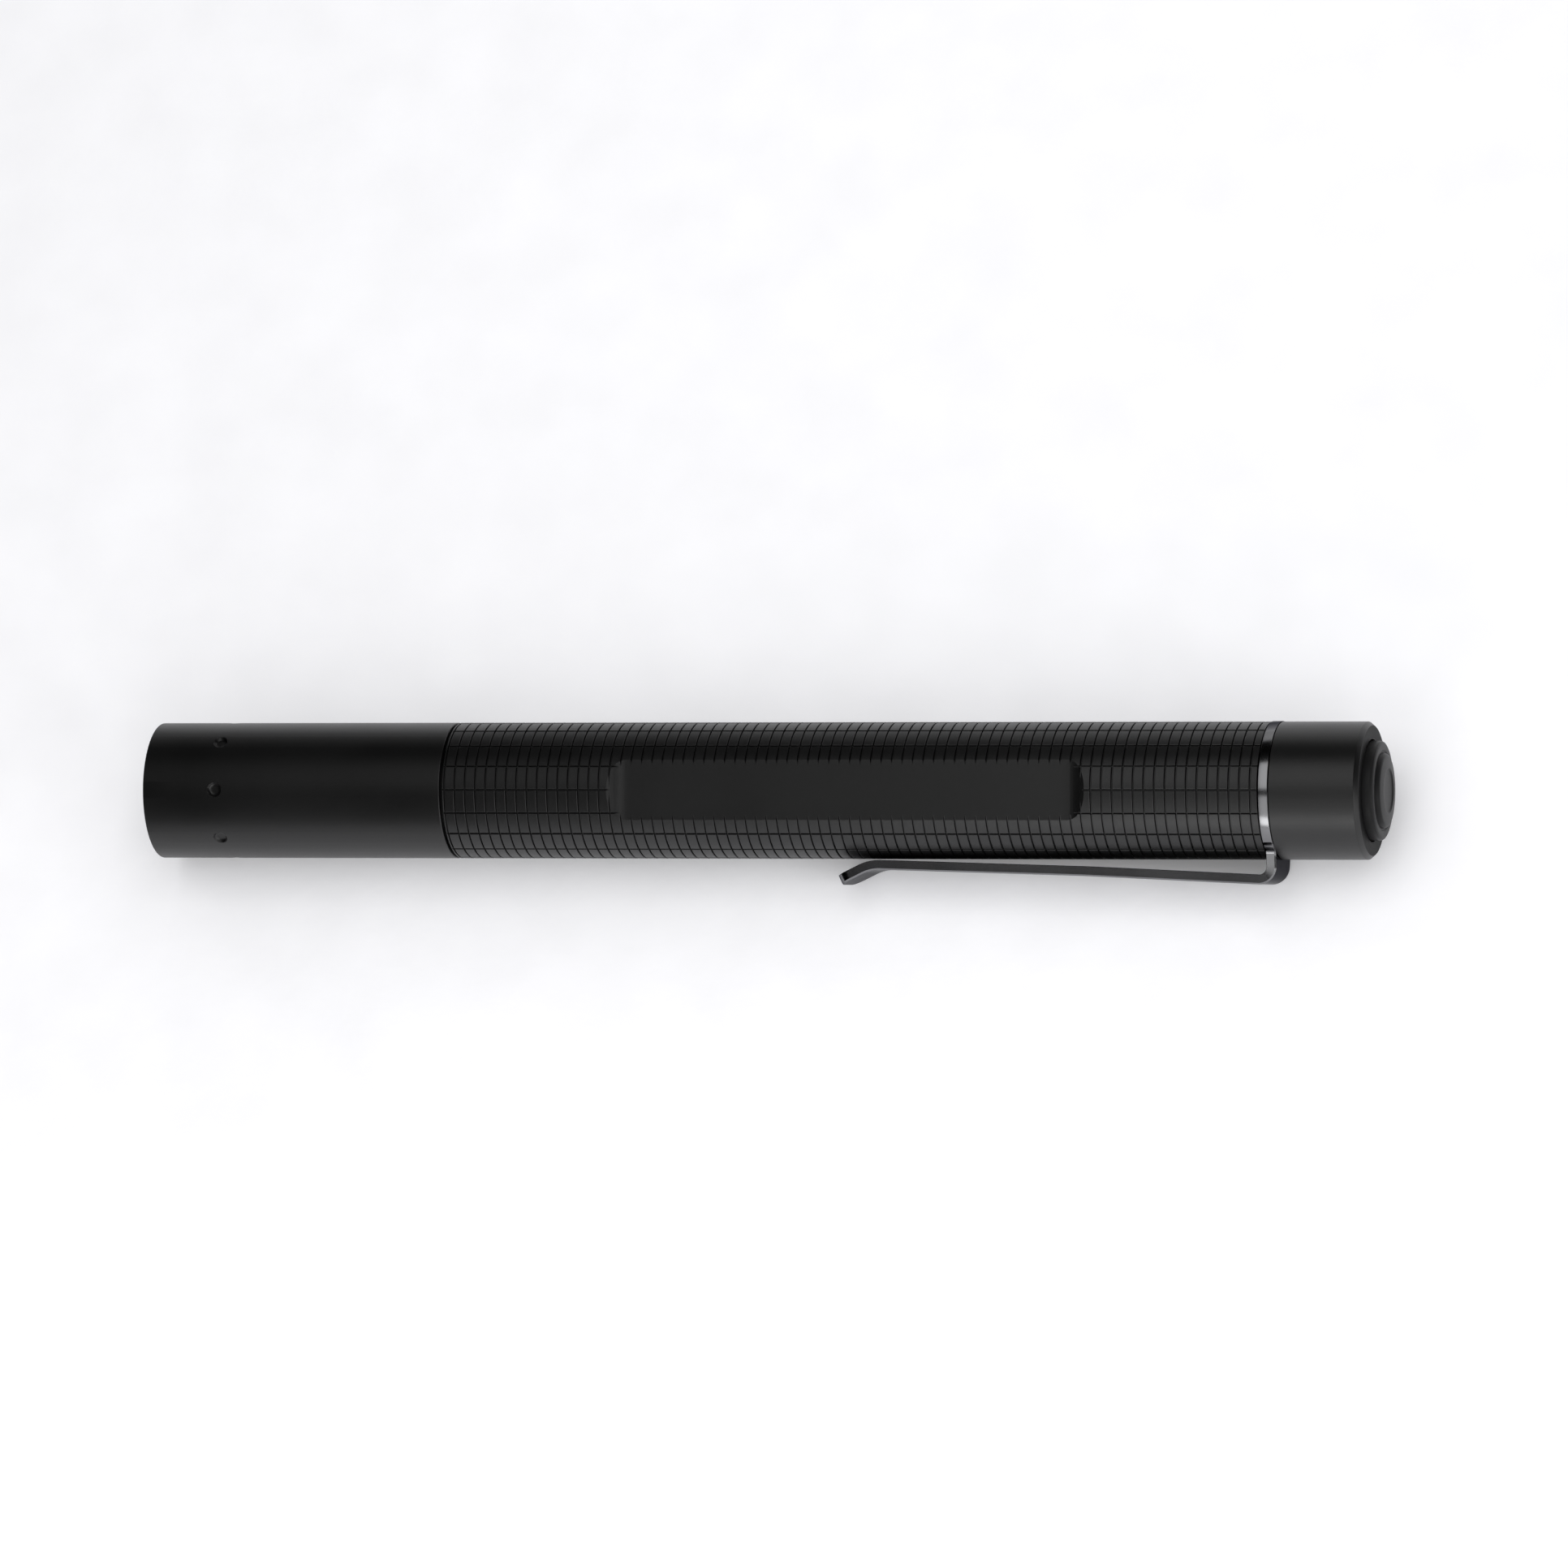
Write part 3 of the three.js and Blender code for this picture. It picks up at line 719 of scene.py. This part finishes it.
def push_button():
    """A skirted cap whose face has a groove round a raised disc, with a shallow dish in its middle."""
    skirt_r, flange_r, disc_r, dish_r = 4.0, 5.4, 3.7, 2.3
    inside = 128.4
    flange_end = BUTTON_START + 0.9
    face = BUTTON_END - 0.55
    groove = face - 0.14
    outline = [
        (inside, 0),
        (inside, skirt_r),
        (BUTTON_START, skirt_r, 0.1),
        (BUTTON_START, flange_r, 0.1),
        (flange_end, flange_r, 0.1),
        (flange_end, BUTTON_R),
        (face, BUTTON_R, 0.45),
        (face, disc_r + 0.42, 0.08),
        (groove, disc_r + 0.3, 0.05),
        (groove, disc_r + 0.16, 0.05),
        (BUTTON_END - 0.15, disc_r, 0.3),
        (BUTTON_END - 0.02, dish_r, 0.08),
        (BUTTON_END - 0.16, dish_r - 0.18, 0.08),
        (BUTTON_END - 0.2, dish_r - 1.1),
        (BUTTON_END - 0.22, 0),
    ]
    add_turned("push_button", outline, BUTTON_BLACK, "button_black", ["button"], "button")


def coil(name, span, radius, wire, turns, node_name, body):
    """A compression spring, as a round wire swept along its helix."""
    first, last = span[0] + wire, span[1] - wire
    per_turn, sides = 40, 12
    sections = []
    for i in range(turns * per_turn + 1):
        share = i / (turns * per_turn)
        angle = 2 * math.pi * turns * share
        outward = Vector((0, math.cos(angle), math.sin(angle)))
        middle = ALONG * (first + (last - first) * share) + outward * radius
        ways = [outward * math.cos(t) + ALONG * math.sin(t) for t in even_angles(sides)]
        sections.append([middle + way * wire for way in ways])
    finished(swept(name, sections), NICKEL, [node_name], body, even=False)


cap_shell()
push_button()
seal_piece("cap_seal", x=117.6, middle=6.12, half=0.28, node_name="cap_oring", body="tail_cap")
coil(
    "contact_coil", along("tail_spring"), radius=3.2, wire=0.3, turns=4,
    node_name="tail_spring", body="tail_contact",
)
coil(
    "return_coil", along("button_spring"), radius=2.6, wire=0.22, turns=4,
    node_name="button_spring", body="button",
)


# ---- Finishes of the CAD nodes that stay --------------------------------------------------------
KEPT = {
    BRASS: ["led_heatsink", "front_contact", "switch_ring", "switch_contact"],
    NICKEL: ["cell_front_terminal", "cell_rear_terminal"],
    GREEN: ["driver_board", "switch_board"],
    WHITE: ["led_package"],
    PLASTIC: ["driver_inductor", "switch_housing", "button_plunger"],
    JACKET: ["cell_front_can", "cell_rear_can"],
}
for finish, names in KEPT.items():
    for name in names:
        cad = frame["nodes"][name]
        cad.data.materials.clear()
        cad.data.materials.append(finish)


# ---- Floor, light and camera --------------------------------------------------------------------
FLOOR_R = 12.0  # in metres
FLOOR_GLOW = 0.15
SKY_STRENGTH = 0.65
SOFTBOX_AWAY = 0.25  # from the middle of the light, in metres
CAMERA_AIM_X = 66.9
CAMERA_SWING = math.radians(15.85)  # off the flat's normal, towards the tail
CAMERA_ROLL = math.radians(0.7)  # round the light, towards its clip
CAMERA_FAR = 1179
CAMERA_RISE = 0.67
CAMERA_LENS = 264.6


def floor():
    bm = bmesh.new()
    bmesh.ops.create_circle(bm, cap_ends=True, segments=96, radius=FLOOR_R)
    made = plain_object("floor", bm)
    glow = {"Emission Strength": FLOOR_GLOW, "Emission Color": (1, 1, 1, 1)}
    pale = finish_of("floor_white", grey(0.86), grey(0.9), (0.6, 0.7), 1.5, 0.02, glow)
    made.data.materials.append(pale)


def panel(name, width, height, strength, place, facing):
    """A light panel, in metres, that the camera doesn't see. facing is its turn as a rotation matrix."""
    data = bpy.data.lights.new(name, "AREA")
    data.shape = "RECTANGLE"
    data.size = width
    data.size_y = height
    data.energy = strength * math.pi * width * height
    made = bpy.data.objects.new(name, data)
    made.matrix_world = Matrix.Translation(place) @ facing.to_4x4()
    made.visible_camera = False
    bpy.context.scene.collection.objects.link(made)


def softbox(name, tilts, span, strength):
    """A panel facing the light. tilts are its two edges' angles off the flat's normal, counted away from
    the clip, and span is where it starts and ends along the frame's x, in metres."""
    low, high = (math.radians(tilt) for tilt in tilts)
    turn = (low + high) / 2
    way = OUT_OF_FLAT * math.cos(turn) - TO_CLIP * math.sin(turn)
    height = 2 * SOFTBOX_AWAY * math.tan((high - low) / 2)
    place = Vector(((span[0] + span[1]) / 2, RIM.y, RIM.z)) + way * SOFTBOX_AWAY
    facing = Matrix((ALONG, way.cross(ALONG), way)).transposed()
    panel(name, span[1] - span[0], height, strength, place, facing)


def end_light(name, way, away, size, strength):
    """A square panel beyond one end of the light, facing the middle of the scene."""
    facing = way.to_track_quat("Z", "Y").to_matrix()
    panel(name, size, size, strength, way.normalized() * away, facing)


def sky():
    """A plain pale background that isn't seen in reflections."""
    world = bpy.data.worlds.new("studio")
    world.use_nodes = True
    bpy.context.scene.world = world
    back = world.node_tree.nodes["Background"]
    back.inputs["Color"].default_value = (1, 1, 1, 1)
    back.inputs["Strength"].default_value = SKY_STRENGTH
    world.cycles_visibility.glossy = False


def camera():
    data = bpy.data.cameras.new("camera")
    data.sensor_width = 36.0
    data.lens = CAMERA_LENS
    data.clip_start = 0.01
    data.clip_end = 50.0
    made = bpy.data.objects.new("camera", data)
    square_on = OUT_OF_FLAT * math.cos(CAMERA_ROLL) + TO_CLIP * math.sin(CAMERA_ROLL)
    back = ALONG * math.sin(CAMERA_SWING) + square_on * math.cos(CAMERA_SWING)
    up = back.cross(ALONG).normalized()
    place = at(CAMERA_AIM_X, 0, -CAMERA_RISE) + back * CAMERA_FAR * MM
    turned_to = Matrix((up.cross(back), up, back)).transposed().to_4x4()
    made.matrix_world = Matrix.Translation(place) @ turned_to
    bpy.context.scene.collection.objects.link(made)
    bpy.context.scene.camera = made


floor()
softbox("head_softbox", tilts=(2, 46), span=(-0.12, -0.04), strength=0.5)
softbox("upper_softbox", tilts=(2, 46), span=(-0.04, 0.07), strength=1.6)
softbox("lower_softbox", tilts=(-45, -9), span=(-0.04, 0.07), strength=1.35)
softbox("edge_softbox", tilts=(-60, -45), span=(-0.04, 0.07), strength=4.5)
softbox("back_head_softbox", tilts=(90, 130), span=(-0.25, -0.04), strength=0.22)
softbox("back_softbox", tilts=(90, 130), span=(-0.04, 0.2), strength=0.9)
end_light("tail_light", way=Vector((0.75, -0.55, 0.35)), away=0.5, size=0.35, strength=2.0)
sky()
camera()
bpy.context.scene.view_settings.view_transform = "Standard"
